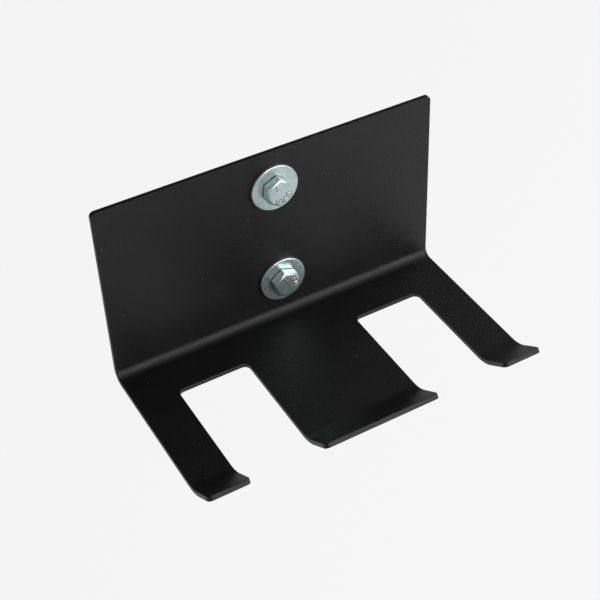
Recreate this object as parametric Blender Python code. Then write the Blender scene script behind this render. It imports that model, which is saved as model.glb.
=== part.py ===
"""Two-notch wall bracket of folded steel sheet, held by two bolts with large washers and nuts.

Metres, +X to the right, +Y into the wall, +Z up. The origin is the middle of the bolt slots'
pattern on the plate's rear face.
"""

from math import ceil, cos, pi, radians, sin, tan

import bmesh
import bpy
from mathutils import Matrix, Vector

# Bracket: one sheet, folded forward into a shelf and up again into the fingers' lips.
PLATE_WIDTH = 0.180
SHEET = 0.0025
HEIGHT = 0.1025  # plate's top edge to shelf's underside
BEND_RADIUS = 0.0045  # inner face
SHELF_REACH = 0.0812  # rear face to where the lips start
LIP_RADIUS = 0.0166  # inner face
LIP_TURN = radians(34)
LIP_FLAT = 0.0141
CORNER_RADIUS = 0.0025

# Notches between the three fingers.
CENTRE_FINGER = 0.0620
NOTCH_WIDTH = 0.0377
NOTCH_BACK = 0.0264  # rear face to the notches' back edge
NOTCH_RADIUS = 0.0032

# Adjusting slots for the bolts, hidden under the washers.
SLOT_SPACING = 0.0576
SLOT_BELOW_TOP = 0.0200
SLOT_HEIGHT = 0.009
SLOT_WIDTH = 0.015

# M8 hardware: hexagon bolt, hexagon nut and large washers.
BOLT_LENGTH = 0.025
BOLT_NECK = 0.0026  # plain stretch under the head, at least
BOLT_END_CUT = 0.0006
ACROSS_FLATS = 0.013
HEAD_HEIGHT = 0.0053
NUT_HEIGHT = 0.0068
FACE_RADIUS = 0.0056  # flat round top of head and nut, inside the 30 degree chamfer
BEARING_RADIUS = 0.0058  # round step under the head
BEARING_STEP = 0.0004
WASHER_RADIUS = 0.0125
WASHER_HEIGHT = 0.002
WASHER_BORE = 0.0042
NUT_COUNTERSINK = 0.0004
SEAT_GAP = 0.0001  # between pieces that bear on each other

# Right-hand thread. Flanks are 30 degrees off square to the axis; the nut stands clear of the bolt.
PITCH = 0.00125
BOLT_CREST = 0.00396
BOLT_ROOT = 0.0033
BOLT_CREST_FLAT = 0.00016
NUT_CREST = 0.00344
NUT_ROOT = 0.00412
FLANK_CLEARANCE = 0.00009  # along the axis, on each flank
THREAD_FADE = pi / 2  # turn over which a thread rises to its full height

# Where each bolt stands in its slot, and how far its head is turned from corner-to-the-right.
BOLT_OFFSETS = {"upper": 0.0009, "lower": 0.0026}
HEAD_TURNS = {"upper": radians(25), "lower": radians(40)}
NUT_TURNS = {"upper": radians(10), "lower": radians(48)}
NUT_THREAD_TURNS = 3

BEND_STEP = radians(9)  # largest turn between two fold lines
ARC_STEPS = 6  # per quarter circle of an outline
ROUND_STEPS = 24  # round a bolt, a nut or a washer

PLATE_TOP = SLOT_SPACING / 2 + SLOT_BELOW_TOP
BOLT_THREAD_TURNS = int((BOLT_LENGTH - BOLT_NECK - BOLT_END_CUT) / PITCH) - 1
BOLT_THREAD_START = -BOLT_LENGTH + BOLT_END_CUT
BLACK_COAT = ((0.012, 0.012, 0.013), 0.45, 0.0)
ZINC = ((0.62, 0.67, 0.67), 0.25, 1.0)


def clear_scene():
    """Removes whatever the file holds."""
    for item in list(bpy.data.objects):
        bpy.data.objects.remove(item, do_unlink=True)


def material(name, look):
    """A Principled material of one colour, roughness and metallic value."""
    colour, roughness, metallic = look
    made = bpy.data.materials.new(name)
    made.use_nodes = True
    shader = made.node_tree.nodes["Principled BSDF"]
    shader.inputs["Base Color"].default_value = (*colour, 1.0)
    shader.inputs["Roughness"].default_value = roughness
    shader.inputs["Metallic"].default_value = metallic
    return made


def finish(name, form, look):
    """Turns a bmesh into a named object with its material, smooth except at its corners."""
    bmesh.ops.recalc_face_normals(form, faces=form.faces)
    mesh = bpy.data.meshes.new(name)
    form.to_mesh(mesh)
    form.free()
    mesh.shade_smooth()
    mesh.set_sharp_from_angle(angle=radians(25))
    mesh.materials.append(material(name, look))
    item = bpy.data.objects.new(name, mesh)
    bpy.context.scene.collection.objects.link(item)
    return item


# ---------------------------------------------------------------- bracket


def stretches():
    """The folded sheet from the plate's top edge to the lips' tips: inner length and turn."""
    plate_flat = HEIGHT - SHEET - BEND_RADIUS
    shelf_flat = SHELF_REACH - SHEET - BEND_RADIUS
    return [
        (plate_flat, 0.0),
        (BEND_RADIUS * pi / 2, pi / 2),
        (shelf_flat, 0.0),
        (LIP_RADIUS * LIP_TURN, LIP_TURN),
        (LIP_FLAT, 0.0),
    ]


def ahead(heading):
    """Direction along the sheet: down at heading 0, forward at a quarter turn."""
    return Vector((0.0, -sin(heading), -cos(heading)))


def inward(heading):
    """Direction out of the sheet's inner face: forward at heading 0, up at a quarter turn."""
    return Vector((0.0, -cos(heading), sin(heading)))


def folded(x, along, depth):
    """Place of a point of the flat blank, a distance along it and a depth into it, once folded."""
    place = Vector((0.0, -SHEET, PLATE_TOP))
    heading = 0.0
    for length, turn in stretches():
        part = min(along, length)
        along -= part
        if turn:
            centre = place + inward(heading) * length / turn
            heading += turn * part / length
            place = centre - inward(heading) * length / turn
        else:
            place = place + ahead(heading) * part
        if along <= 0:
            break
    return place - inward(heading) * depth + Vector((x, 0.0, 0.0))


def fold_lines():
    """Distances along the blank at which it is divided to bend smoothly."""
    lines = []
    start = 0.0
    for length, turn in stretches():
        steps = ceil(turn / BEND_STEP)
        lines += [start + length * i / steps for i in range(steps + 1)] if turn else []
        start += length
    return lines


def rounded(corners):
    """A closed outline with an arc at each corner; corners are (x, y, radius)."""
    spots = [Vector((x, y)) for x, y, _ in corners]
    points = []
    for i, here in enumerate(spots):
        radius = corners[i][2]
        back = (spots[i - 1] - here).normalized()
        on = (spots[(i + 1) % len(spots)] - here).normalized()
        half = back.angle(on) / 2
        centre = here + (back + on).normalized() * radius / sin(half)
        first = (here + back * radius / tan(half) - centre).normalized()
        last = (here + on * radius / tan(half) - centre).normalized()
        for k in range(ARC_STEPS + 1):
            points.append(centre + first.slerp(last, k / ARC_STEPS) * radius)
    return points


def blank_outline():
    """The blank's edge as (x, distance from the top edge), right half and then its mirror."""
    end = sum(length for length, _ in stretches())
    plate, bend = stretches()[:2]
    back = plate[0] + bend[0] + NOTCH_BACK - SHEET - BEND_RADIUS
    side, near = PLATE_WIDTH / 2, CENTRE_FINGER / 2
    far = near + NOTCH_WIDTH
    half = [(side, 0.0, CORNER_RADIUS), (side, end, CORNER_RADIUS), (far, end, CORNER_RADIUS)]
    half += [(far, back, NOTCH_RADIUS), (near, back, NOTCH_RADIUS), (near, end, CORNER_RADIUS)]
    return rounded(half + [(-x, y, r) for x, y, r in reversed(half)])


def slot_outline(along):
    """A horizontal slot with round ends, centred that far down the plate."""
    radius = SLOT_HEIGHT / 2
    reach = SLOT_WIDTH / 2 - radius
    turns = [pi * i / (2 * ARC_STEPS) - pi / 2 for i in range(2 * ARC_STEPS + 1)]
    right = [Vector((reach + radius * cos(t), along + radius * sin(t))) for t in turns]
    return right + [Vector((-p.x, 2 * along - p.y)) for p in right]


def add_loop(form, points):
    """A closed loop of edges in the plane of the blank."""
    corners = [form.verts.new((p.x, p.y, 0.0)) for p in points]
    for a, b in zip(corners, corners[1:] + corners[:1]):
        form.edges.new((a, b))


def make_bracket():
    """Cuts the blank, thickens it, and folds it."""
    form = bmesh.new()
    add_loop(form, blank_outline())
    for row in range(2):
        add_loop(form, slot_outline(SLOT_BELOW_TOP + row * SLOT_SPACING))
    bmesh.ops.triangle_fill(form, edges=form.edges[:], use_beauty=True)
    raised = bmesh.ops.extrude_face_region(form, geom=form.faces[:])["geom"]
    bmesh.ops.translate(
        form,
        verts=[v for v in raised if isinstance(v, bmesh.types.BMVert)],
        vec=(0.0, 0.0, SHEET),
    )
    for line in fold_lines():
        everything = form.verts[:] + form.edges[:] + form.faces[:]
        bmesh.ops.bisect_plane(form, geom=everything, plane_co=(0, line, 0), plane_no=(0, 1, 0))
    for v in form.verts:
        v.co = folded(v.co.x, v.co.y, v.co.z)
    return finish("bracket", form, BLACK_COAT)


# ---------------------------------------------------------------- bolts, nuts and washers


def circle(radius):
    """A round ring's radius at any angle."""
    return lambda angle: radius


def hexagon(angle):
    """A hexagon's radius at an angle measured from one of its corners."""
    return ACROSS_FLATS / 2 / cos(angle % (pi / 3) - pi / 6)


def chamfer_depth(angle):
    """How far the 30 degree chamfer has come down where it meets the hexagon."""
    return (hexagon(angle) - FACE_RADIUS) * tan(radians(30))


def add_ring(form, radius, height):
    """One ring of vertices; radius and height are functions of the angle."""
    angles = [2 * pi * i / ROUND_STEPS for i in range(ROUND_STEPS)]
    return [form.verts.new((radius(a) * cos(a), radius(a) * sin(a), height(a))) for a in angles]


def level(height):
    """A flat ring's height at any angle."""
    return lambda angle: height


def add_skin(form, loops):
    """Faces between each ring and the next."""
    for low, high in zip(loops, loops[1:]):
        for i in range(ROUND_STEPS):
            j = (i + 1) % ROUND_STEPS
            form.faces.new((low[i], low[j], high[j], high[i]))


def flank(low_radius, high_radius):
    """Length along the axis of a thread's flank between two radii."""
    return abs(high_radius - low_radius) * tan(radians(30))


def bolt_lines():
    """The thread's section as (radius, distance along the axis): root, crest, crest, root."""
    rise = flank(BOLT_ROOT, BOLT_CREST)
    crest = rise + BOLT_CREST_FLAT
    return [(BOLT_ROOT, 0.0), (BOLT_CREST, rise), (BOLT_CREST, crest), (BOLT_ROOT, crest + rise)]


def nut_lines():
    """The nut's ridge, which fills the bolt's groove but for the clearance."""
    groove_end = PITCH
    groove_start = bolt_lines()[-1][1]
    shift = flank(BOLT_ROOT, NUT_CREST) - FLANK_CLEARANCE
    fall = flank(NUT_CREST, NUT_ROOT)
    first, last = groove_start - shift, groove_end + shift
    return [(NUT_ROOT, first - fall), (NUT_CREST, first), (NUT_CREST, last), (NUT_ROOT, last + fall)]


def add_thread(form, low_ring, high_ring, lines, start, turns):
    """A threaded wall between two plain rings of the thread's root radius.

    The lines wind up from height start, so a line's end at angle 2 pi is the start of the same
    line one turn higher. The ridge fades out at both ends, and the walls beyond it are plain.
    """
    root = lines[0][0]
    base = lines[0][1]
    steps = turns * ROUND_STEPS
    fade_steps = THREAD_FADE / (2 * pi) * ROUND_STEPS

    def vertex(row, k):
        turn, line = divmod(row, len(lines))
        radius, offset = lines[line]
        step = turn * ROUND_STEPS + k
        share = min(1.0, step / fade_steps, (steps - step) / fade_steps)
        radius = root + (radius - root) * max(0.0, share)
        height = start + offset - base + PITCH * step / ROUND_STEPS
        angle = 2 * pi * k / ROUND_STEPS
        return form.verts.new((radius * cos(angle), radius * sin(angle), height))

    last_row = turns * len(lines)
    rows = [[vertex(row, k) for k in range(ROUND_STEPS)] for row in range(last_row + 1)]
    rows += [[vertex(row, 0)] for row in range(last_row + 1, last_row + 1 + len(lines))]
    for row in range(last_row + 1):
        rows[row].append(rows[row + len(lines)][0])
    for low, high in zip(rows[:last_row], rows[1:]):
        for k in range(ROUND_STEPS):
            form.faces.new((low[k], low[k + 1], high[k + 1], high[k]))
    lowest, highest = rows[0], rows[last_row]
    for k in range(ROUND_STEPS):
        after = (k + 1) % ROUND_STEPS
        is_seam = k == ROUND_STEPS - 1
        seam = [rows[i][0] for i in range(len(lines))] if is_seam else []
        form.faces.new([low_ring[k], low_ring[after], *seam, lowest[k + 1], lowest[k]])
        seam = [rows[last_row + i][0] for i in range(len(lines), 0, -1)] if k == 0 else []
        form.faces.new([highest[k], highest[k + 1], high_ring[after], high_ring[k], *seam])


def make_bolt(name):
    """Hexagon bolt; its origin is under the head, and the head rises along +Z."""
    form = bmesh.new()
    tip = [
        add_ring(form, circle(BOLT_ROOT - BOLT_END_CUT / 2), level(-BOLT_LENGTH)),
        add_ring(form, circle(BOLT_ROOT), level(-BOLT_LENGTH + BOLT_END_CUT / 2)),
    ]
    head = [
        add_ring(form, circle(BOLT_ROOT), level(0.0)),
        add_ring(form, circle(BEARING_RADIUS), level(0.0)),
        add_ring(form, circle(BEARING_RADIUS), level(BEARING_STEP)),
        add_ring(form, hexagon, level(BEARING_STEP)),
        add_ring(form, hexagon, lambda a: HEAD_HEIGHT - chamfer_depth(a)),
        add_ring(form, circle(FACE_RADIUS), level(HEAD_HEIGHT)),
    ]
    add_skin(form, tip)
    add_thread(form, tip[-1], head[0], bolt_lines(), BOLT_THREAD_START, BOLT_THREAD_TURNS)
    add_skin(form, head)
    form.faces.new(tip[0])
    form.faces.new(head[-1])
    return finish(name, form, ZINC)


def make_nut(name, thread_start):
    """Hexagon nut; its origin is on the seat face, and the nut rises along +Z."""
    form = bmesh.new()
    mouth = NUT_ROOT + NUT_COUNTERSINK
    outside = [
        add_ring(form, circle(NUT_ROOT), level(NUT_COUNTERSINK)),
        add_ring(form, circle(mouth), level(0.0)),
        add_ring(form, circle(FACE_RADIUS), level(0.0)),
        add_ring(form, hexagon, chamfer_depth),
        add_ring(form, hexagon, lambda a: NUT_HEIGHT - chamfer_depth(a)),
        add_ring(form, circle(FACE_RADIUS), level(NUT_HEIGHT)),
        add_ring(form, circle(mouth), level(NUT_HEIGHT)),
        add_ring(form, circle(NUT_ROOT), level(NUT_HEIGHT - NUT_COUNTERSINK)),
    ]
    add_skin(form, outside)
    add_thread(form, outside[0], outside[-1], nut_lines(), thread_start, NUT_THREAD_TURNS)
    return finish(name, form, ZINC)


def make_washer(name):
    """Flat washer; its origin is on the seat face, and the washer rises along +Z."""
    form = bmesh.new()
    rings = [
        add_ring(form, circle(WASHER_RADIUS), level(0.0)),
        add_ring(form, circle(WASHER_RADIUS), level(WASHER_HEIGHT)),
        add_ring(form, circle(WASHER_BORE), level(WASHER_HEIGHT)),
        add_ring(form, circle(WASHER_BORE), level(0.0)),
    ]
    add_skin(form, rings + rings[:1])
    return finish(name, form, ZINC)


def put(item, axis, y, front, turn=0.0):
    """Stands a piece on a bolt's axis, rising to the front or to the rear, turned about it."""
    item.parent = axis
    item.location = (0.0, y, 0.0)
    lean = Matrix.Rotation(pi / 2 if front else -pi / 2, 4, "X")
    item.rotation_euler = (lean @ Matrix.Rotation(turn, 4, "Z")).to_euler()


def nut_thread_start(place, head_seat, nut_seat):
    """Height in the nut at which its ridge starts, so that it lies in the bolt's groove.

    Seen from the front the bolt's thread winds one way round and the nut's local frame, which
    faces the other way, winds back, so the two turns add up.
    """
    turned = (HEAD_TURNS[place] + NUT_TURNS[place]) / (2 * pi)
    ridge = nut_lines()
    ridge_width = ridge[-1][1] - ridge[0][1]
    ridge_above_root = ridge[0][1]
    meeting = head_seat - nut_seat - BOLT_THREAD_START - ridge_above_root - ridge_width
    lowest = NUT_COUNTERSINK + 0.1 * PITCH
    return lowest + (meeting + turned * PITCH - lowest) % PITCH


def make_fastener(place, z):
    """One bolt with its washers and nut, carried by an empty on the bolt's axis."""
    axis = bpy.data.objects.new(f"{place}_axis", None)
    axis.location = (BOLT_OFFSETS[place], 0.0, z)
    bpy.context.scene.collection.objects.link(axis)
    front_seat = -SHEET - SEAT_GAP
    put(make_washer(f"{place}_front_washer"), axis, front_seat, front=True)
    head_seat = front_seat - WASHER_HEIGHT - SEAT_GAP
    put(make_bolt(f"{place}_bolt"), axis, head_seat, front=True, turn=HEAD_TURNS[place])
    put(make_washer(f"{place}_rear_washer"), axis, SEAT_GAP, front=False)
    nut_seat = WASHER_HEIGHT + 2 * SEAT_GAP
    start = nut_thread_start(place, head_seat, nut_seat)
    put(make_nut(f"{place}_nut", start), axis, nut_seat, front=False, turn=NUT_TURNS[place])


def main():
    clear_scene()
    make_bracket()
    make_fastener("upper", SLOT_SPACING / 2)
    make_fastener("lower", -SLOT_SPACING / 2)


main()
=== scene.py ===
"""Finished look of a folded wall bracket: powder-coated sheet steel and zinc-plated hardware.

Metres, +X to the right, +Y into the wall, +Z up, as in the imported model.
"""

from math import atan2, ceil, cos, pi, radians, sin, tan

import bmesh
import bpy
from mathutils import Matrix, Vector


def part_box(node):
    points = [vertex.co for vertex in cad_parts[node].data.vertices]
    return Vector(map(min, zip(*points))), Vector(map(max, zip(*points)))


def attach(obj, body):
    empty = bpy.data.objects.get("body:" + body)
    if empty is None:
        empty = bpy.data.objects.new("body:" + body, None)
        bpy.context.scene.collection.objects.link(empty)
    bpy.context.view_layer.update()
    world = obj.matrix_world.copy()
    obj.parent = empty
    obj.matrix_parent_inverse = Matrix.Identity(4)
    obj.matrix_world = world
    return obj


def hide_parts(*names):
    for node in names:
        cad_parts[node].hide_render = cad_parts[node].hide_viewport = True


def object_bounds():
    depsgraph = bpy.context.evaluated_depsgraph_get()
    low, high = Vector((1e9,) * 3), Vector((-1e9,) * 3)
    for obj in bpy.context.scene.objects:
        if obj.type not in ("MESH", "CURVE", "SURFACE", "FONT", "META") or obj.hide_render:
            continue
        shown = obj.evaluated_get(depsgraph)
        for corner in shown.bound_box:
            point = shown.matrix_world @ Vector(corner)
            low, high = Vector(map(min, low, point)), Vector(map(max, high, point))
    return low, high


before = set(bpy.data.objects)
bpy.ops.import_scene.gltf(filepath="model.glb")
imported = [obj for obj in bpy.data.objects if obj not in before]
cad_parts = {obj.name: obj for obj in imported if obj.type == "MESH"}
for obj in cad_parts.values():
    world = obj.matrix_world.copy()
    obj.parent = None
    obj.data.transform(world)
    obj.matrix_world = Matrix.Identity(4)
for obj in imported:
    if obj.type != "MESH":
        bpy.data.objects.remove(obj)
cad_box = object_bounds()

# Bracket: one sheet, folded forward into a shelf and up again into the fingers' lips.
SHEET = 0.0025
BEND_RADIUS = 0.0045  # inner face
SHELF_REACH = 0.0812  # rear face to where the lips start
LIP_RADIUS = 0.0166  # inner face
LIP_TURN = radians(34)
LIP_FLAT = 0.0141
CORNER_RADIUS = 0.0025
CENTRE_FINGER = 0.0620
NOTCH_WIDTH = 0.0377
NOTCH_BACK = 0.0264  # rear face to the notches' back edge
NOTCH_RADIUS = 0.0032
SLOT_HEIGHT = 0.009
SLOT_WIDTH = 0.015
EDGE_ROUND = 0.00022  # coat over the cut edges
EDGE_STEPS = 4
BEND_STEP = radians(3)
OUTLINE_STEP = radians(9)

# M8 hardware.
ACROSS_FLATS = 0.013
HEAD_HEIGHT = 0.0053
NUT_HEIGHT = 0.0068
FACE_RADIUS = 0.0056  # flat top of head and nut, inside the chamfer
BEARING_RADIUS = 0.0058
BEARING_STEP = 0.0004
BOLT_LENGTH = 0.025
BOLT_NECK = 0.0026
BOLT_END_CUT = 0.0006
PITCH = 0.00125
BOLT_CREST = 0.00396
BOLT_ROOT = 0.0033
BOLT_CREST_FLAT = 0.00016
NUT_CREST = 0.00344
NUT_ROOT = 0.00412
NUT_COUNTERSINK = 0.0004
NUT_THREAD_TURNS = 3
FLANK_CLEARANCE = 0.00009
THREAD_FADE = pi / 2
WASHER_RADIUS = 0.0125
WASHER_HEIGHT = 0.002
WASHER_BORE = 0.0042
WASHER_ROLL = 0.0006  # punched edge drawn over on the washer's upper side
HARD_EDGE = 0.00012  # rounding of the hexagon's edges
HEAD_TURNS = {"upper": radians(25), "lower": radians(40)}
NUT_TURNS = {"upper": radians(10), "lower": radians(48)}
ROUND_STEPS = 72

# Marks on the heads: a zigzag of strokes in an arc, and a single stroke opposite.
MARK_TURNS = {"upper": radians(-63), "lower": radians(51)}  # middle of the arc
SINGLE_TURNS = {"upper": radians(117), "lower": radians(231)}
MARK_SPREAD = [radians(-58 + 19 * i) for i in range(7)]
MARK_TILT = radians(24)  # strokes lean to one side and the other in turn
MARK_REACH = (0.0031, 0.0053)
SINGLE_TILT = radians(-8)
SINGLE_REACH = (0.0028, 0.0050)
MARK_WIDTH = 0.0006
MARK_HEIGHT = 0.00034
MARK_ROUND = 0.0002
PAINTED_SHADE_HEIGHT = 0.00004  # painted shade: patches of dark, dull zinc round the marks
PAINTED_SHADE_MARGIN = 0.00018

# Surfaces. Noise scales and cells are per metre, and bump heights are in metres.
COAT_GREYS = (0.0022, 0.003)
COAT_SPECULAR = 0.40
COAT_ROUGHNESS = (0.46, 0.52)
COAT_PEEL_SCALE, COAT_PEEL = 900, 0.00015
COAT_GRAIN_SCALE, COAT_GRAIN = 4200, 0.00007
SPECK_CELLS = 130
SPECK_RADIUS = 0.00022
SPECK_GREY = 0.2
ZINC_TINTS = [  # place on the cloud's ramp, colour
    (0.3, (0.51, 0.67, 0.665)),
    (0.52, (0.62, 0.735, 0.72)),
    (0.72, (0.72, 0.77, 0.74)),
]
ZINC_ROUGHNESS = (0.12, 0.56)
ZINC_CRYSTAL_SCALE = 5200
ZINC_DENT_SCALE, ZINC_DENT = 450, 0.00002
ZINC_STREAK_SCALE, ZINC_STREAK = 1100, 0.00015
# Pale, smooth zinc on the marks: a painted highlight.
PAINTED_HIGHLIGHT_TINTS = ((0.80, 0.84, 0.83), (0.92, 0.93, 0.92))
PAINTED_HIGHLIGHT_ROUGHNESS = (0.16, 0.30)
# Dark, dull zinc round the marks' feet: painted shade.
PAINTED_SHADE_TINTS = ((0.010, 0.016, 0.016), (0.03, 0.04, 0.04))
PAINTED_SHADE_ROUGHNESS = (0.45, 0.65)

# Camera and studio.
AZIMUTH, ELEVATION, ROLL = radians(-30.22), radians(40.13), radians(-1.07)
CAMERA_PLACE = (0.034863, -0.054843, 0.64258)  # along its own right, up and back directions
LENS = 82.66
SHIFT = (-0.0695, -0.0546)
FLOOR_DROP = 0.45  # below the bracket's lowest point
FLOOR_RADIUS = 40.0
FLOOR_COLOUR = (0.10, 0.10, 0.10)
FLOOR_MIDDLE = (0.34, 0.42)  # middle of its bright part
FLOOR_FADE = (0.82, 1.7, 0.86, 0.34)  # two distances from there, then glow nearer and farther
WORLD_FADE = (0.0, 0.5, 0.24, 0.05)  # sines of two elevations, then brightness below and above
SOFTBOX_DISTANCE = 2.0
SOFTBOXES = [  # name, azimuth from the front to the right, elevation, width, height, brightness
    ("key_softbox", radians(20), radians(16), 1.6, 1.15, 4.1),
    ("upper_softbox", radians(22), radians(45), 1.9, 0.85, 0.9),
    ("outer_softbox", radians(49.5), radians(24), 0.81, 1.78, 1.35),
    ("side_softbox", radians(90), radians(27), 2.3, 2.2, 1.25),
    ("left_softbox", radians(-54), radians(29), 1.5, 1.5, 0.22),
]


# ---------------------------------------------------------------- materials


def new_material(name):
    """An empty material with its nodes, its links and its Principled shader."""
    made = bpy.data.materials.new(name)
    made.use_nodes = True
    tree = made.node_tree
    return made, tree.nodes, tree.links, tree.nodes["Principled BSDF"]


def add_noise(nodes, links, scale, detail, stretch=(1.0, 1.0, 1.0)):
    """Noise over the object's own coordinates; scale is per metre."""
    coordinates = nodes.new("ShaderNodeTexCoord")
    mapping = nodes.new("ShaderNodeMapping")
    mapping.inputs["Scale"].default_value = stretch
    noise = nodes.new("ShaderNodeTexNoise")
    noise.inputs["Scale"].default_value = scale
    noise.inputs["Detail"].default_value = detail
    links.new(coordinates.outputs["Object"], mapping.inputs["Vector"])
    links.new(mapping.outputs["Vector"], noise.inputs["Vector"])
    return noise.outputs["Fac"]


def add_ramp(nodes, links, source, stops):
    """A colour ramp over a value; stops are (place, colour)."""
    ramp = nodes.new("ShaderNodeValToRGB")
    points = ramp.color_ramp.elements
    while len(points) < len(stops):
        points.new(0.5)
    for point, (place, colour) in zip(points, stops):
        point.position = place
        point.color = (*colour, 1.0)
    links.new(source, ramp.inputs["Fac"])
    return ramp.outputs["Color"]


def add_range(nodes, links, source, low, high):
    """Maps a value from the noise's usual span to the span low to high."""
    span = nodes.new("ShaderNodeMapRange")
    span.inputs["From Min"].default_value = 0.3
    span.inputs["From Max"].default_value = 0.7
    span.inputs["To Min"].default_value = low
    span.inputs["To Max"].default_value = high
    links.new(source, span.inputs["Value"])
    return span.outputs["Result"]


def add_bump(nodes, links, height, distance, strength, below=None):
    """Bump of a height in metres, on top of another bump if one is given."""
    bump = nodes.new("ShaderNodeBump")
    bump.inputs["Distance"].default_value = distance
    bump.inputs["Strength"].default_value = strength
    links.new(height, bump.inputs["Height"])
    if below is not None:
        links.new(below, bump.inputs["Normal"])
    return bump.outputs["Normal"]


def add_specks(nodes, links):
    """1 inside a few tiny round specks spread at random, and 0 elsewhere."""
    coordinates = nodes.new("ShaderNodeTexCoord")
    cells = nodes.new("ShaderNodeTexVoronoi")
    cells.inputs["Scale"].default_value = SPECK_CELLS
    links.new(coordinates.outputs["Object"], cells.inputs["Vector"])
    is_near = nodes.new("ShaderNodeMath")
    is_near.operation = "LESS_THAN"
    is_near.inputs[1].default_value = SPECK_RADIUS * SPECK_CELLS
    links.new(cells.outputs["Distance"], is_near.inputs[0])
    return is_near.outputs["Value"]


def powder_coat():
    """Black fine-texture powder coat: orange peel, fine grain and a few pale specks."""
    made, nodes, links, shader = new_material("powder_coat")
    shader.inputs["Specular IOR Level"].default_value = COAT_SPECULAR
    cloud = add_noise(nodes, links, 60, 3.0)
    low, high = COAT_GREYS
    base = add_ramp(nodes, links, cloud, [(0.35, (low,) * 3), (0.65, (high,) * 3)])
    mix = nodes.new("ShaderNodeMix")
    mix.data_type = "RGBA"
    links.new(add_specks(nodes, links), mix.inputs["Factor"])
    links.new(base, mix.inputs["A"])
    mix.inputs["B"].default_value = (SPECK_GREY, SPECK_GREY, SPECK_GREY, 1.0)
    links.new(mix.outputs["Result"], shader.inputs["Base Color"])
    links.new(add_range(nodes, links, cloud, *COAT_ROUGHNESS), shader.inputs["Roughness"])
    peel = add_noise(nodes, links, COAT_PEEL_SCALE, 3.0)
    grain = add_noise(nodes, links, COAT_GRAIN_SCALE, 1.0)
    peeled = add_bump(nodes, links, peel, COAT_PEEL, 1.0)
    grained = add_bump(nodes, links, grain, COAT_GRAIN, 1.0, peeled)
    links.new(grained, shader.inputs["Normal"])
    return made


def zinc_plate():
    """Bright zinc plate with a faint blue-green passivation and streaks round the axis."""
    made, nodes, links, shader = new_material("zinc_plate")
    shader.inputs["Metallic"].default_value = 1.0
    cloud = add_noise(nodes, links, 220, 3.0)
    streaks = add_noise(nodes, links, ZINC_STREAK_SCALE, 2.0, (0.1, 0.1, 1.0))
    links.new(add_ramp(nodes, links, cloud, ZINC_TINTS), shader.inputs["Base Color"])
    crystals = add_noise(nodes, links, ZINC_CRYSTAL_SCALE, 2.0)
    dull = add_range(nodes, links, crystals, *ZINC_ROUGHNESS)
    links.new(dull, shader.inputs["Roughness"])
    dents = add_noise(nodes, links, ZINC_DENT_SCALE, 2.0)
    dented = add_bump(nodes, links, dents, ZINC_DENT, 0.35)
    streaked = add_bump(nodes, links, streaks, ZINC_STREAK, 0.7, dented)
    links.new(streaked, shader.inputs["Normal"])
    return made


def zinc_detail(name, tints, roughness):
    """Zinc tinted apart from the plated faces round it, for the painted highlight on the marks and
    the painted shade round them.
    """
    made, nodes, links, shader = new_material(name)
    shader.inputs["Metallic"].default_value = 0.9
    cloud = add_noise(nodes, links, 1500, 2.0)
    tint = add_ramp(nodes, links, cloud, [(0.35, tints[0]), (0.65, tints[1])])
    links.new(tint, shader.inputs["Base Color"])
    links.new(add_range(nodes, links, cloud, *roughness), shader.inputs["Roughness"])
    return made


# ---------------------------------------------------------------- bracket


def rounded(corners, is_hole=False):
    """Points and normals of a closed outline whose corners are (x, y, radius).

    The normals point away from the sheet's material, so out of the outline or into the hole.
    """
    spots = [Vector(c[:2]) for c in corners]
    area = sum(a.x * b.y - b.x * a.y for a, b in zip(spots, spots[1:] + spots[:1]))
    around = []
    for i, here in enumerate(spots):
        radius = corners[i][2]
        back = (spots[i - 1] - here).normalized()
        on = (spots[(i + 1) % len(spots)] - here).normalized()
        half = back.angle(on) / 2
        centre = here + (back + on).normalized() * radius / sin(half)
        first = (here + back * radius / tan(half) - centre) / radius
        last = (here + on * radius / tan(half) - centre) / radius
        bulges = (on.x * back.y - on.y * back.x) * area > 0
        facing = 1.0 if bulges != is_hole else -1.0
        steps = ceil(first.angle(last) / OUTLINE_STEP)
        for k in range(steps + 1):
            way = first.slerp(last, k / steps)
            spot = centre + way * radius
            if not around or (spot - around[-1][0]).length > 1e-6:
                around.append((spot, way * facing))
    if (around[0][0] - around[-1][0]).length < 1e-6:
        around.pop()
    return around


def edge_section():
    """Round the cut edge from inner to outer face: inset, depth, normal out and normal inward."""
    quarter = [pi / 2 * i / EDGE_STEPS for i in range(EDGE_STEPS + 1)]
    r = EDGE_ROUND
    front = [(r * (1 - sin(t)), r * (1 - cos(t)), sin(t), cos(t)) for t in quarter]
    rear = [(r * (1 - cos(t)), SHEET - r * (1 - sin(t)), cos(t), -sin(t)) for t in quarter]
    return front + rear


def stretches(height):
    """The folded sheet from the plate's top edge to the lips' tips: inner length and turn."""
    return [
        (height - SHEET - BEND_RADIUS, 0.0),
        (BEND_RADIUS * pi / 2, pi / 2),
        (SHELF_REACH - SHEET - BEND_RADIUS, 0.0),
        (LIP_RADIUS * LIP_TURN, LIP_TURN),
        (LIP_FLAT, 0.0),
    ]


def ahead(heading):
    """Direction along the sheet: down at heading 0, forward at a quarter turn."""
    return Vector((0.0, -sin(heading), -cos(heading)))


def inward(heading):
    """Direction out of the sheet's inner face: forward at heading 0, up at a quarter turn."""
    return Vector((0.0, -cos(heading), sin(heading)))


def folded(parts, top, along):
    """Place on the inner face and heading, a distance along the blank."""
    place = Vector((0.0, -SHEET, top))
    heading = 0.0
    for length, turn in parts:
        part = min(along, length)
        along -= part
        if turn:
            centre = place + inward(heading) * length / turn
            heading += turn * part / length
            place = centre - inward(heading) * length / turn
        else:
            place = place + ahead(heading) * part
        if along <= 0:
            break
    return place, heading


def fold_lines(parts):
    """Distances along the blank at which it is divided to bend smoothly."""
    lines = []
    start = 0.0
    for length, turn in parts:
        steps = ceil(turn / BEND_STEP)
        lines += [start + length * i / steps for i in range(steps + 1)] if turn else []
        start += length
    return lines


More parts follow.
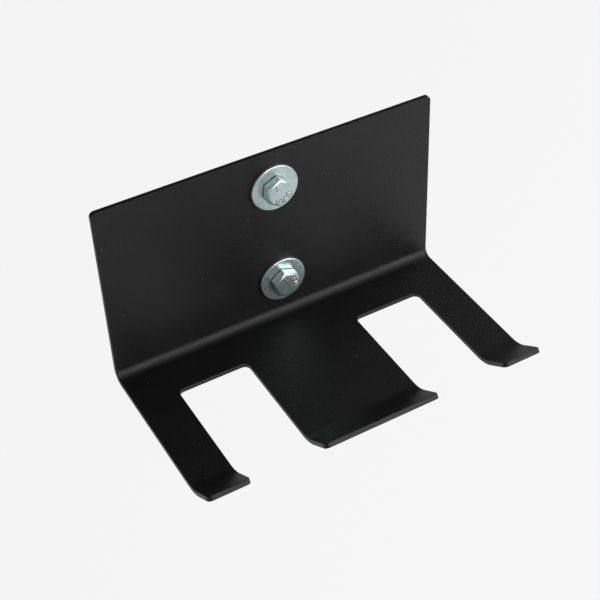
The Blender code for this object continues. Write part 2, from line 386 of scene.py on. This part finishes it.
def blank_corners(width, parts):
    """The blank's corners as (x, distance from the top edge, radius), right half then left."""
    end = sum(length for length, _ in parts)
    back = parts[0][0] + parts[1][0] + NOTCH_BACK - SHEET - BEND_RADIUS
    side, near, r = width / 2, CENTRE_FINGER / 2, CORNER_RADIUS
    far = near + NOTCH_WIDTH
    half = [(side, 0.0, r), (side, end, r), (far, end, r), (far, back, NOTCH_RADIUS)]
    half += [(near, back, NOTCH_RADIUS), (near, end, r)]
    return half + [(-x, y, r) for x, y, r in reversed(half)]


def slot_corners(along):
    """A horizontal slot with round ends, centred that far down the plate."""
    x, y = SLOT_WIDTH / 2, SLOT_HEIGHT / 2
    return [(sx * x, along + sy * y, y) for sx, sy in ((1, -1), (1, 1), (-1, 1), (-1, -1))]


def add_outline(form, way, around):
    """The rounded cut edge along one outline; returns the edges of its two flat faces."""
    loops = []
    for inset, depth, out, up in edge_section():
        loop = []
        for spot, normal in around:
            place = spot - normal * inset
            corner = form.verts.new((place.x, place.y, depth))
            corner[way] = (normal.x * out, normal.y * out, up)
            loop.append(corner)
        loops.append(loop)
    count = len(around)
    for low, high in zip(loops, loops[1:]):
        for i in range(count):
            j = (i + 1) % count
            form.faces.new((low[i], low[j], high[j], high[i]))
    ends = [loops[0], loops[-1]]
    return [[form.edges.get((e[i], e[(i + 1) % count])) for i in range(count)] for e in ends]


def add_bracket(coat):
    """The coated sheet with rounded edges, cut flat and then folded."""
    low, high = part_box("bracket")
    parts = stretches(high[2] - low[2])
    form = bmesh.new()
    way = form.verts.layers.float_vector.new("way")
    outlines = [rounded(blank_corners(high[0] - low[0], parts))]
    for place in ("upper", "lower"):
        washer_low, washer_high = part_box(f"{place}_front_washer")
        along = high[2] - (washer_low[2] + washer_high[2]) / 2
        outlines.append(rounded(slot_corners(along), is_hole=True))
    rims = [add_outline(form, way, around) for around in outlines]
    for side, up in ((0, 1.0), (1, -1.0)):
        edges = [e for rim in rims for e in rim[side]]
        bmesh.ops.triangle_fill(form, edges=edges, use_beauty=True)
    for line in fold_lines(parts):
        everything = form.verts[:] + form.edges[:] + form.faces[:]
        bmesh.ops.bisect_plane(form, geom=everything, plane_co=(0, line, 0), plane_no=(0, 1, 0))
    normals = []
    for v in form.verts:
        place, heading = folded(parts, high[2], v.co.y)
        flat = v[way]
        normals.append(
            Vector((flat.x, 0.0, 0.0)) + ahead(heading) * flat.y + inward(heading) * flat.z
        )
        v.co = place - inward(heading) * v.co.z + Vector((v.co.x, 0.0, 0.0))
    form.verts.index_update()
    for face in form.faces:
        face.normal_update()
        if sum(face.normal.dot(normals[v.index]) for v in face.verts) < 0:
            face.normal_flip()
    form.verts.layers.float_vector.remove(form.verts.layers.float_vector["way"])
    mesh = bpy.data.meshes.new("coated_bracket")
    form.to_mesh(mesh)
    form.free()
    mesh.shade_smooth()
    mesh.normals_split_custom_set_from_vertices([n.normalized() for n in normals])
    mesh.materials.append(coat)
    piece = bpy.data.objects.new("coated_bracket", mesh)
    bpy.context.scene.collection.objects.link(piece)
    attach(piece, "bracket")
    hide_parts("bracket")


# ---------------------------------------------------------------- bolts, nuts and washers


def new_mesh_object(name, form, look):
    """Turns a bmesh into an object, smooth except at its hard corners."""
    bmesh.ops.recalc_face_normals(form, faces=form.faces)
    mesh = bpy.data.meshes.new(name)
    form.to_mesh(mesh)
    form.free()
    mesh.shade_smooth()
    mesh.set_sharp_from_angle(angle=radians(40))
    mesh.materials.append(look)
    piece = bpy.data.objects.new(name, mesh)
    bpy.context.scene.collection.objects.link(piece)
    weighted = piece.modifiers.new("even_normals", "WEIGHTED_NORMAL")
    weighted.keep_sharp = True
    return piece


def circle(radius):
    """A round ring's radius at any angle."""
    return lambda angle: radius


def hexagon(angle):
    """A hexagon's radius at an angle measured from one of its corners."""
    return ACROSS_FLATS / 2 / cos(angle % (pi / 3) - pi / 6)


def chamfer_depth(angle):
    """How far the 30 degree chamfer has come down where it meets the hexagon."""
    return (hexagon(angle) - FACE_RADIUS) * tan(radians(30))


def level(height):
    """A flat ring's height at any angle."""
    return lambda angle: height


def add_ring(form, radius, height):
    """One ring of vertices; radius and height are functions of the angle."""
    angles = [2 * pi * i / ROUND_STEPS for i in range(ROUND_STEPS)]
    return [form.verts.new((radius(a) * cos(a), radius(a) * sin(a), height(a))) for a in angles]


def add_skin(form, loops):
    """Faces between each ring and the next."""
    for low, high in zip(loops, loops[1:]):
        for i in range(ROUND_STEPS):
            j = (i + 1) % ROUND_STEPS
            form.faces.new((low[i], low[j], high[j], high[i]))


def flank(low_radius, high_radius):
    """Length along the axis of a thread's flank between two radii."""
    return abs(high_radius - low_radius) * tan(radians(30))


def bolt_lines():
    """The thread's section as (radius, distance along the axis): root, crest, crest, root."""
    rise = flank(BOLT_ROOT, BOLT_CREST)
    crest = rise + BOLT_CREST_FLAT
    return [(BOLT_ROOT, 0.0), (BOLT_CREST, rise), (BOLT_CREST, crest), (BOLT_ROOT, crest + rise)]


def nut_lines():
    """The nut's ridge, which fills the bolt's groove but for the clearance."""
    groove_start = bolt_lines()[-1][1]
    shift = flank(BOLT_ROOT, NUT_CREST) - FLANK_CLEARANCE
    fall = flank(NUT_CREST, NUT_ROOT)
    first, last = groove_start - shift, PITCH + shift
    return [(NUT_ROOT, first - fall), (NUT_CREST, first), (NUT_CREST, last), (NUT_ROOT, last + fall)]


def add_thread(form, low_ring, high_ring, lines, start, turns):
    """A threaded wall between two plain rings of the thread's root radius.

    The lines wind up from height start, so a line's end is the start of the same line one turn
    higher. The ridge fades out at both ends, and the walls beyond it are plain.
    """
    root, base = lines[0]
    steps = turns * ROUND_STEPS
    fade_steps = THREAD_FADE / (2 * pi) * ROUND_STEPS

    def vertex(row, k):
        turn, line = divmod(row, len(lines))
        radius, offset = lines[line]
        step = turn * ROUND_STEPS + k
        share = min(1.0, step / fade_steps, (steps - step) / fade_steps)
        radius = root + (radius - root) * max(0.0, share)
        height = start + offset - base + PITCH * step / ROUND_STEPS
        angle = 2 * pi * k / ROUND_STEPS
        return form.verts.new((radius * cos(angle), radius * sin(angle), height))

    last_row = turns * len(lines)
    rows = [[vertex(row, k) for k in range(ROUND_STEPS)] for row in range(last_row + 1)]
    rows += [[vertex(row, 0)] for row in range(last_row + 1, last_row + 1 + len(lines))]
    for row in range(last_row + 1):
        rows[row].append(rows[row + len(lines)][0])
    for low, high in zip(rows[:last_row], rows[1:]):
        for k in range(ROUND_STEPS):
            form.faces.new((low[k], low[k + 1], high[k + 1], high[k]))
    lowest, highest = rows[0], rows[last_row]
    for k in range(ROUND_STEPS):
        after = (k + 1) % ROUND_STEPS
        seam = [rows[i][0] for i in range(len(lines))] if k == ROUND_STEPS - 1 else []
        form.faces.new([low_ring[k], low_ring[after], *seam, lowest[k + 1], lowest[k]])
        seam = [rows[last_row + i][0] for i in range(len(lines), 0, -1)] if k == 0 else []
        form.faces.new([highest[k], highest[k + 1], high_ring[after], high_ring[k], *seam])


def soften(form, edges, width):
    """Rounds the edges between faces that meet at more than 25 degrees."""
    hard = [e for e in edges if len(e.link_faces) == 2 and e.calc_face_angle() > radians(25)]
    bmesh.ops.bevel(
        form, geom=hard, offset=width, segments=3, profile=0.5, affect="EDGES", clamp_overlap=True
    )


def bolt_form():
    """Hexagon bolt; its origin is under the head, and the head rises along +Z."""
    form = bmesh.new()
    head = [
        add_ring(form, circle(BOLT_ROOT), level(0.0)),
        add_ring(form, circle(BEARING_RADIUS), level(0.0)),
        add_ring(form, circle(BEARING_RADIUS), level(BEARING_STEP)),
        add_ring(form, hexagon, level(BEARING_STEP)),
        add_ring(form, hexagon, lambda a: HEAD_HEIGHT - chamfer_depth(a)),
        add_ring(form, circle(FACE_RADIUS), level(HEAD_HEIGHT)),
    ]
    add_skin(form, head)
    form.faces.new(head[-1])
    soften(form, form.edges[:], HARD_EDGE)
    collar = sorted((v for v in form.verts if v.is_boundary), key=turn_of)
    tip = [
        add_ring(form, circle(BOLT_ROOT - BOLT_END_CUT / 2), level(-BOLT_LENGTH)),
        add_ring(form, circle(BOLT_ROOT), level(-BOLT_LENGTH + BOLT_END_CUT / 2)),
    ]
    add_skin(form, tip)
    form.faces.new(tip[0])
    turns = int((BOLT_LENGTH - BOLT_NECK - BOLT_END_CUT) / PITCH) - 1
    add_thread(form, tip[-1], collar, bolt_lines(), -BOLT_LENGTH + BOLT_END_CUT, turns)
    return form


def turn_of(vertex):
    """A vertex's angle about the axis, from 0 up to a whole turn."""
    return atan2(vertex.co.y, vertex.co.x) % (2 * pi)


def nut_form(start):
    """Hexagon nut; its origin is on the seat face, and the nut rises along +Z."""
    form = bmesh.new()
    mouth = NUT_ROOT + NUT_COUNTERSINK
    outside = [
        add_ring(form, circle(mouth), level(0.0)),
        add_ring(form, circle(FACE_RADIUS), level(0.0)),
        add_ring(form, hexagon, chamfer_depth),
        add_ring(form, hexagon, lambda a: NUT_HEIGHT - chamfer_depth(a)),
        add_ring(form, circle(FACE_RADIUS), level(NUT_HEIGHT)),
        add_ring(form, circle(mouth), level(NUT_HEIGHT)),
    ]
    add_skin(form, outside)
    soften(form, form.edges[:], HARD_EDGE)
    rims = [v for v in form.verts if v.is_boundary]
    middle = NUT_HEIGHT / 2
    low_mouth = sorted((v for v in rims if v.co.z < middle), key=turn_of)
    high_mouth = sorted((v for v in rims if v.co.z > middle), key=turn_of)
    low_root = add_ring(form, circle(NUT_ROOT), level(NUT_COUNTERSINK))
    high_root = add_ring(form, circle(NUT_ROOT), level(NUT_HEIGHT - NUT_COUNTERSINK))
    add_skin(form, [low_root, low_mouth])
    add_skin(form, [high_mouth, high_root])
    add_thread(form, low_root, high_root, nut_lines(), start, NUT_THREAD_TURNS)
    return form


def washer_form():
    """Punched washer, drawn over at its upper edges; its origin is on the seat face."""
    form = bmesh.new()
    quarter = [pi / 2 * i / 5 for i in range(6)]
    outer, inner, burr = WASHER_ROLL, WASHER_ROLL / 2, WASHER_ROLL / 5
    section = [(WASHER_RADIUS - burr, 0.0), (WASHER_RADIUS, burr)]
    section += [
        (WASHER_RADIUS - outer * (1 - cos(t)), WASHER_HEIGHT - outer * (1 - sin(t)))
        for t in quarter
    ]
    section += [
        (WASHER_BORE + inner * (1 - sin(t)), WASHER_HEIGHT - inner * (1 - cos(t)))
        for t in quarter
    ]
    section += [(WASHER_BORE, burr), (WASHER_BORE + burr, 0.0)]
    rings = [add_ring(form, circle(radius), level(height)) for radius, height in section]
    add_skin(form, rings + rings[:1])
    return form


def strokes_form(centre_turn, single_turn, height, margin, edge):
    """Short strokes on a head: a zigzag of them in an arc, and one opposite.

    The height is how far they stand out of the head. The margin widens them on all sides, and
    their edges are rounded by the last length.
    """
    form = bmesh.new()
    strokes = [
        (centre_turn + turn, MARK_TILT * (-1) ** i, *MARK_REACH)
        for i, turn in enumerate(MARK_SPREAD)
    ]
    strokes.append((single_turn, SINGLE_TILT, *SINGLE_REACH))
    for turn, tilt, near, far in strokes:
        before = set(form.verts)
        bmesh.ops.create_cube(form, size=1.0)
        bar = [v for v in form.verts if v not in before]
        size = (far - near + 2 * margin, MARK_WIDTH + 2 * margin, 2 * height)
        bmesh.ops.scale(form, verts=bar, vec=size)
        place = Matrix.Rotation(turn, 4, "Z")
        place = place @ Matrix.Translation((0.5 * (near + far), 0.0, HEAD_HEIGHT))
        place = place @ Matrix.Rotation(tilt, 4, "Z")
        bmesh.ops.transform(form, verts=bar, matrix=place)
    bmesh.ops.bevel(
        form, geom=form.edges[:], offset=edge, segments=3, profile=0.5, affect="EDGES"
    )
    return form


def stand(piece, axis, y, front, turn):
    """Stands a piece on a bolt's axis, rising to the front or to the rear, turned about it."""
    lean = Matrix.Rotation(pi / 2 if front else -pi / 2, 4, "X")
    piece.matrix_world = (
        Matrix.Translation((axis.x, y, axis.y)) @ lean @ Matrix.Rotation(turn, 4, "Z")
    )


def nut_thread_start(place, head_seat, nut_seat):
    """Height in the nut at which its ridge starts, so that it lies in the bolt's groove."""
    turned = (HEAD_TURNS[place] + NUT_TURNS[place]) / (2 * pi)
    ridge = nut_lines()
    meeting = head_seat - nut_seat + BOLT_LENGTH - BOLT_END_CUT - ridge[-1][1]
    lowest = NUT_COUNTERSINK + 0.1 * PITCH
    return lowest + (meeting + turned * PITCH - lowest) % PITCH


def add_fastener(place, zinc, painted_highlight_look, painted_shade_look):
    """One bolt with its marks, washers and nut, each where its CAD node stands.

    The marks are of pale zinc, a painted highlight, and stand on patches of dark zinc, a painted
    shade.
    """
    low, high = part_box(f"{place}_front_washer")
    axis = Vector(((low.x + high.x) / 2, (low.z + high.z) / 2))
    head_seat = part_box(f"{place}_bolt")[0].y + HEAD_HEIGHT
    nut_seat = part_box(f"{place}_nut")[0].y
    head_turn, nut_turn = HEAD_TURNS[place], NUT_TURNS[place]
    thread_start = nut_thread_start(place, head_seat, nut_seat)
    rear_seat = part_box(f"{place}_rear_washer")[0].y
    turns = (MARK_TURNS[place] - head_turn, SINGLE_TURNS[place] - head_turn)
    marks = strokes_form(*turns, MARK_HEIGHT, 0.0, MARK_ROUND)
    # Patches of dark zinc round the marks' feet: painted shade.
    shade_patches = strokes_form(*turns, PAINTED_SHADE_HEIGHT, PAINTED_SHADE_MARGIN, PAINTED_SHADE_HEIGHT / 3)
    pieces = [
        ("washer_in_front", washer_form(), zinc, "front_washer", high.y, True, 0.0),
        ("zinc_bolt", bolt_form(), zinc, "bolt", head_seat, True, head_turn),
        # The marks' pale zinc is a painted highlight.
        ("head_marks", marks, painted_highlight_look, "bolt", head_seat, True, head_turn),
        ("head_painted_shade", shade_patches, painted_shade_look, "bolt", head_seat, True, head_turn),
        ("washer_behind", washer_form(), zinc, "rear_washer", rear_seat, False, 0.0),
        ("zinc_nut", nut_form(thread_start), zinc, "nut", nut_seat, False, nut_turn),
    ]
    for name, form, look, body, y, front, turn in pieces:
        piece = new_mesh_object(f"{place}_{name}", form, look)
        stand(piece, axis, y, front, turn)
        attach(piece, f"{place}_{body}")
        if not name.startswith("head"):
            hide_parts(f"{place}_{body}")


# ---------------------------------------------------------------- studio


def add_fade(nodes, links, source, ends):
    """Eases from one level to another; ends are the source's two values, then the two levels."""
    fade = nodes.new("ShaderNodeMapRange")
    fade.interpolation_type = "SMOOTHSTEP"
    for name, value in zip(("From Min", "From Max", "To Min", "To Max"), ends):
        fade.inputs[name].default_value = value
    links.new(source, fade.inputs["Value"])
    return fade.outputs["Result"]


def add_floor():
    """A wide plain floor well below the hanging bracket. It glows, a painted pool of light, even
    round its middle and fading farther out.
    """
    form = bmesh.new()
    bmesh.ops.create_circle(form, cap_ends=True, radius=FLOOR_RADIUS, segments=128)
    mesh = bpy.data.meshes.new("floor")
    form.to_mesh(mesh)
    form.free()
    floor = bpy.data.objects.new("floor", mesh)
    floor.location.z = cad_box[0].z - FLOOR_DROP
    made, nodes, links, shader = new_material("floor")
    shader.inputs["Base Color"].default_value = (*FLOOR_COLOUR, 1.0)
    shader.inputs["Roughness"].default_value = 0.9
    shader.inputs["Specular IOR Level"].default_value = 0.0
    shader.inputs["Emission Color"].default_value = (1.0, 1.0, 1.0, 1.0)
    coordinates = nodes.new("ShaderNodeTexCoord")
    distance = nodes.new("ShaderNodeVectorMath")
    distance.operation = "DISTANCE"
    distance.inputs[1].default_value = (*FLOOR_MIDDLE, 0.0)
    links.new(coordinates.outputs["Object"], distance.inputs[0])
    # Painted light: the floor's glow, brightest round its middle.
    glow = add_fade(nodes, links, distance.outputs["Value"], FLOOR_FADE)
    links.new(glow, shader.inputs["Emission Strength"])
    mesh.materials.append(made)
    bpy.context.scene.collection.objects.link(floor)


def add_softbox(name, azimuth, elevation, width, height, brightness):
    """An upright rectangular area light of even brightness that faces the bracket."""
    light = bpy.data.lights.new(name, "AREA")
    light.shape = "RECTANGLE"
    light.size, light.size_y = width, height
    light.energy = brightness * pi * width * height
    way = Vector((sin(azimuth) * cos(elevation), -cos(azimuth) * cos(elevation), sin(elevation)))
    box = bpy.data.objects.new(name, light)
    box.location = SOFTBOX_DISTANCE * way
    box.rotation_euler = (-way).to_track_quat("-Z", "Y").to_euler()
    box.visible_camera = False
    bpy.context.scene.collection.objects.link(box)


def add_world():
    """White surroundings, bright round the horizon and dim overhead."""
    world = bpy.data.worlds.new("studio")
    world.use_nodes = True
    nodes, links = world.node_tree.nodes, world.node_tree.links
    direction = nodes.new("ShaderNodeTexCoord")
    split = nodes.new("ShaderNodeSeparateXYZ")
    links.new(direction.outputs["Generated"], split.inputs["Vector"])
    fade = add_fade(nodes, links, split.outputs["Z"], WORLD_FADE)
    links.new(fade, nodes["Background"].inputs["Strength"])
    nodes["Background"].inputs["Color"].default_value = (1.0, 1.0, 1.0, 1.0)
    bpy.context.scene.world = world


def add_camera():
    """The camera, looking down on the bracket from its front left."""
    back = Vector(
        (sin(AZIMUTH) * cos(ELEVATION), -cos(AZIMUTH) * cos(ELEVATION), sin(ELEVATION))
    )
    level_right = (-back).cross(Vector((0.0, 0.0, 1.0))).normalized()
    level_up = level_right.cross(-back)
    right = cos(ROLL) * level_right + sin(ROLL) * level_up
    up = cos(ROLL) * level_up - sin(ROLL) * level_right
    x, y, z = CAMERA_PLACE
    lens = bpy.data.cameras.new("camera")
    lens.lens = LENS
    lens.shift_x, lens.shift_y = SHIFT
    camera = bpy.data.objects.new("camera", lens)
    turned = Matrix((right, up, back)).transposed().to_4x4()
    top = Vector((0.0, 0.0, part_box("bracket")[1].z))
    camera.matrix_world = Matrix.Translation(top + x * right + y * up + z * back) @ turned
    bpy.context.scene.collection.objects.link(camera)
    bpy.context.scene.camera = camera


# ---------------------------------------------------------------- build

coat = powder_coat()
zinc = zinc_plate()
# Pale zinc on the marks is a painted highlight.
painted_highlight_look = zinc_detail("painted_highlight_zinc", PAINTED_HIGHLIGHT_TINTS, PAINTED_HIGHLIGHT_ROUGHNESS)
# Dark zinc round the marks is painted shade.
painted_shade_look = zinc_detail("painted_shade_zinc", PAINTED_SHADE_TINTS, PAINTED_SHADE_ROUGHNESS)
add_bracket(coat)
for place in ("upper", "lower"):
    add_fastener(place, zinc, painted_highlight_look, painted_shade_look)
add_floor()
add_world()
for softbox in SOFTBOXES:
    add_softbox(*softbox)
add_camera()
bpy.context.scene.view_settings.view_transform = "Standard"
